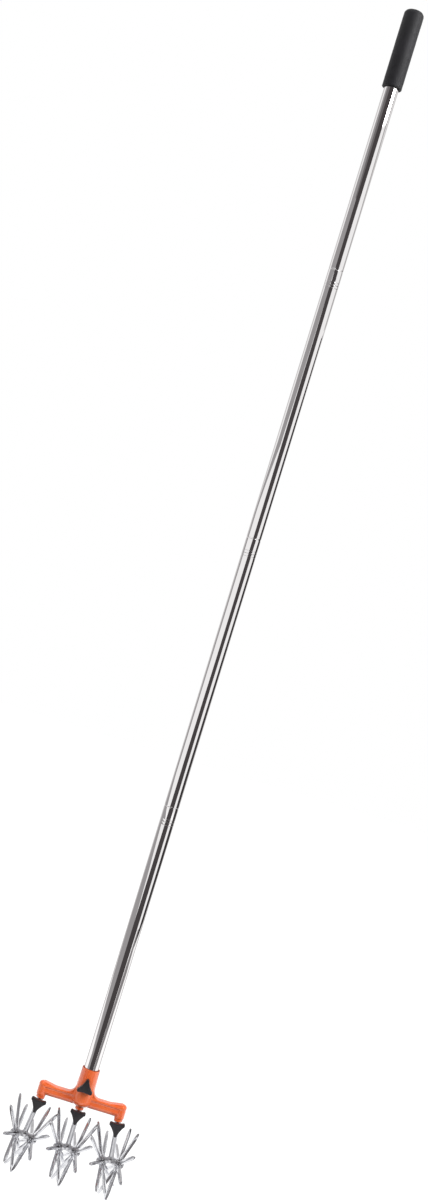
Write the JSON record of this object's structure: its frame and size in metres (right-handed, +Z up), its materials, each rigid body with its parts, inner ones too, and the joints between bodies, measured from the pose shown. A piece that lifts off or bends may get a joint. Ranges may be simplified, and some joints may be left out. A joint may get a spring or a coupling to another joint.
{
  "type": "rotary hand cultivator",
  "caption": "Long-handled rotary cultivator: a screwed steel pole with a foam grip and a cross-bar head that carries angled star wheels, which roll to break up soil.",
  "frame": {"origin": "middle of the grip's round wall, on the pole's axis, where the hand holds the tool", "axes": "+Z up along the pole, +X along the cross bar, -Y towards the side with the knobs"},
  "size_m": [0.1699, 0.0937, 1.5565],
  "materials": {
    "plated_steel": "bright nickel-chrome plated steel tube",
    "orange_nylon": "glossy orange moulded nylon",
    "black_plastic": "satin black moulded plastic",
    "foam_rubber": "matte closed-cell foam rubber",
    "zinc_steel": "bright zinc-plated steel",
    "brass": "turned brass"
  },
  "bodies": {
    "pole_top": {"pole_section_4": "plated_steel", "pole_plug_4": "plated_steel", "pole_end_plug": "black_plastic", "grip_sleeve": "foam_rubber"},
    "joint_insert_3": {"pole_insert_3": "plated_steel"},
    "pole_3": {"pole_section_3": "plated_steel", "pole_plug_3": "plated_steel"},
    "joint_insert_2": {"pole_insert_2": "plated_steel"},
    "pole_2": {"pole_section_2": "plated_steel", "pole_plug_2": "plated_steel"},
    "joint_insert_1": {"pole_insert_1": "plated_steel"},
    "pole_1": {"pole_section_1": "plated_steel", "pole_plug_1": "plated_steel"},
    "head_bush": {"socket_bush": "brass"},
    "head": {"head_casting": "orange_nylon", "lock_bush": "brass", "ferrule_left": "zinc_steel", "tine_stem_left": "zinc_steel", "axle_pins_left": "zinc_steel", "thrust_washers_left": "zinc_steel", "ferrule_middle": "zinc_steel", "tine_stem_middle": "zinc_steel", "axle_pins_middle": "zinc_steel", "thrust_washers_middle": "zinc_steel", "ferrule_right": "zinc_steel", "tine_stem_right": "zinc_steel", "axle_pins_right": "zinc_steel", "thrust_washers_right": "zinc_steel"},
    "lock_screw_stud": {"lock_stud": "zinc_steel"},
    "lock_screw_knob": {"lock_knob": "black_plastic"},
    "clamp_screw_stud_left": {"clamp_stud_left": "zinc_steel"},
    "clamp_screw_knob_left": {"clamp_knob_left": "black_plastic"},
    "clamp_screw_stud_middle": {"clamp_stud_middle": "zinc_steel"},
    "clamp_screw_knob_middle": {"clamp_knob_middle": "black_plastic"},
    "clamp_screw_stud_right": {"clamp_stud_right": "zinc_steel"},
    "clamp_screw_knob_right": {"clamp_knob_right": "black_plastic"},
    "star_1": {"star_wheel_1": "zinc_steel", "hub_bush_1": "zinc_steel"},
    "star_2": {"star_wheel_2": "zinc_steel", "hub_bush_2": "zinc_steel"},
    "star_3": {"star_wheel_3": "zinc_steel", "hub_bush_3": "zinc_steel"},
    "star_4": {"star_wheel_4": "zinc_steel", "hub_bush_4": "zinc_steel"},
    "star_5": {"star_wheel_5": "zinc_steel", "hub_bush_5": "zinc_steel"},
    "star_6": {"star_wheel_6": "zinc_steel", "hub_bush_6": "zinc_steel"}
  },
  "joints": [
    {"name": "pole_joint_3_advance", "type": "slide", "parent": "pole_top", "child": "joint_insert_3", "axis": [0, 0, -1], "range_m": [0, 0.0105]},
    {"name": "pole_joint_3_turn", "type": "hinge", "parent": "joint_insert_3", "child": "pole_3", "pos_m": [0, 0, -0.313], "axis": [0, 0, -1], "range_deg": [0, 2520]},
    {"name": "pole_joint_2_advance", "type": "slide", "parent": "pole_3", "child": "joint_insert_2", "axis": [0, 0, -1], "range_m": [0, 0.0105]},
    {"name": "pole_joint_2_turn", "type": "hinge", "parent": "joint_insert_2", "child": "pole_2", "pos_m": [0, 0, -0.669], "axis": [0, 0, -1], "range_deg": [0, 2520]},
    {"name": "pole_joint_1_advance", "type": "slide", "parent": "pole_2", "child": "joint_insert_1", "axis": [0, 0, -1], "range_m": [0, 0.0105]},
    {"name": "pole_joint_1_turn", "type": "hinge", "parent": "joint_insert_1", "child": "pole_1", "pos_m": [0, 0, -1.025], "axis": [0, 0, -1], "range_deg": [0, 2520]},
    {"name": "head_joint_advance", "type": "slide", "parent": "pole_1", "child": "head_bush", "axis": [0, 0, -1], "range_m": [0, 0.0105]},
    {"name": "head_joint_turn", "type": "hinge", "parent": "head_bush", "child": "head", "pos_m": [0, 0, -1.381], "axis": [0, 0, -1], "range_deg": [0, 2520]},
    {"name": "lock_screw_advance", "type": "slide", "parent": "head", "child": "lock_screw_stud", "axis": [0, -1, 0], "range_m": [0, 0.0024]},
    {"name": "lock_screw_turn", "type": "hinge", "parent": "lock_screw_stud", "child": "lock_screw_knob", "pos_m": [0, 0, -1.3734], "axis": [0, -1, 0], "range_deg": [0, 1080]},
    {"name": "clamp_screw_left_advance", "type": "slide", "parent": "head", "child": "clamp_screw_stud_left", "axis": [0, -1, 0], "range_m": [0, 0.0024]},
    {"name": "clamp_screw_left_turn", "type": "hinge", "parent": "clamp_screw_stud_left", "child": "clamp_screw_knob_left", "pos_m": [-0.05218, 0, -1.41087], "axis": [0, -1, 0], "range_deg": [0, 1080]},
    {"name": "clamp_screw_middle_advance", "type": "slide", "parent": "head", "child": "clamp_screw_stud_middle", "axis": [0, -1, 0], "range_m": [0, 0.0024]},
    {"name": "clamp_screw_middle_turn", "type": "hinge", "parent": "clamp_screw_stud_middle", "child": "clamp_screw_knob_middle", "pos_m": [0, 0, -1.4109], "axis": [0, -1, 0], "range_deg": [0, 1080]},
    {"name": "clamp_screw_right_advance", "type": "slide", "parent": "head", "child": "clamp_screw_stud_right", "axis": [0, -1, 0], "range_m": [0, 0.0024]},
    {"name": "clamp_screw_right_turn", "type": "hinge", "parent": "clamp_screw_stud_right", "child": "clamp_screw_knob_right", "pos_m": [0.05218, 0, -1.41087], "axis": [0, -1, 0], "range_deg": [0, 1080]},
    {"name": "star_1_roll", "type": "hinge", "parent": "head", "child": "star_1", "pos_m": [-0.05721, 0, -1.4564], "axis": [0.9416, -0.2179, 0.2566], "continuous": true},
    {"name": "star_2_roll", "type": "hinge", "parent": "head", "child": "star_2", "pos_m": [-0.05721, 0, -1.4564], "axis": [0.863, 0.2179, -0.4558], "continuous": true},
    {"name": "star_3_roll", "type": "hinge", "parent": "head", "child": "star_3", "pos_m": [0, 0, -1.4567], "axis": [0.9078, -0.2179, 0.3584], "continuous": true},
    {"name": "star_4_roll", "type": "hinge", "parent": "head", "child": "star_4", "pos_m": [0, 0, -1.4567], "axis": [0.9078, 0.2179, -0.3584], "continuous": true},
    {"name": "star_5_roll", "type": "hinge", "parent": "head", "child": "star_5", "pos_m": [0.05721, 0, -1.4564], "axis": [0.863, -0.2179, 0.4558], "continuous": true},
    {"name": "star_6_roll", "type": "hinge", "parent": "head", "child": "star_6", "pos_m": [0.05721, 0, -1.4564], "axis": [0.9416, 0.2179, -0.2566], "continuous": true}
  ],
  "couplings": [
    {"joint": "pole_joint_3_turn", "follows": "pole_joint_3_advance", "rad_per_m": 4188.8},
    {"joint": "pole_joint_2_turn", "follows": "pole_joint_2_advance", "rad_per_m": 4188.8},
    {"joint": "pole_joint_1_turn", "follows": "pole_joint_1_advance", "rad_per_m": 4188.8},
    {"joint": "head_joint_turn", "follows": "head_joint_advance", "rad_per_m": 4188.8},
    {"joint": "lock_screw_turn", "follows": "lock_screw_advance", "rad_per_m": 7854},
    {"joint": "clamp_screw_left_turn", "follows": "clamp_screw_left_advance", "rad_per_m": 7854},
    {"joint": "clamp_screw_middle_turn", "follows": "clamp_screw_middle_advance", "rad_per_m": 7854},
    {"joint": "clamp_screw_right_turn", "follows": "clamp_screw_right_advance", "rad_per_m": 7854},
    {"joint": "star_2_roll", "follows": "star_1_roll", "ratio": 1},
    {"joint": "star_3_roll", "follows": "star_1_roll", "ratio": 1},
    {"joint": "star_4_roll", "follows": "star_1_roll", "ratio": 1},
    {"joint": "star_5_roll", "follows": "star_1_roll", "ratio": 1},
    {"joint": "star_6_roll", "follows": "star_1_roll", "ratio": 1}
  ]
}
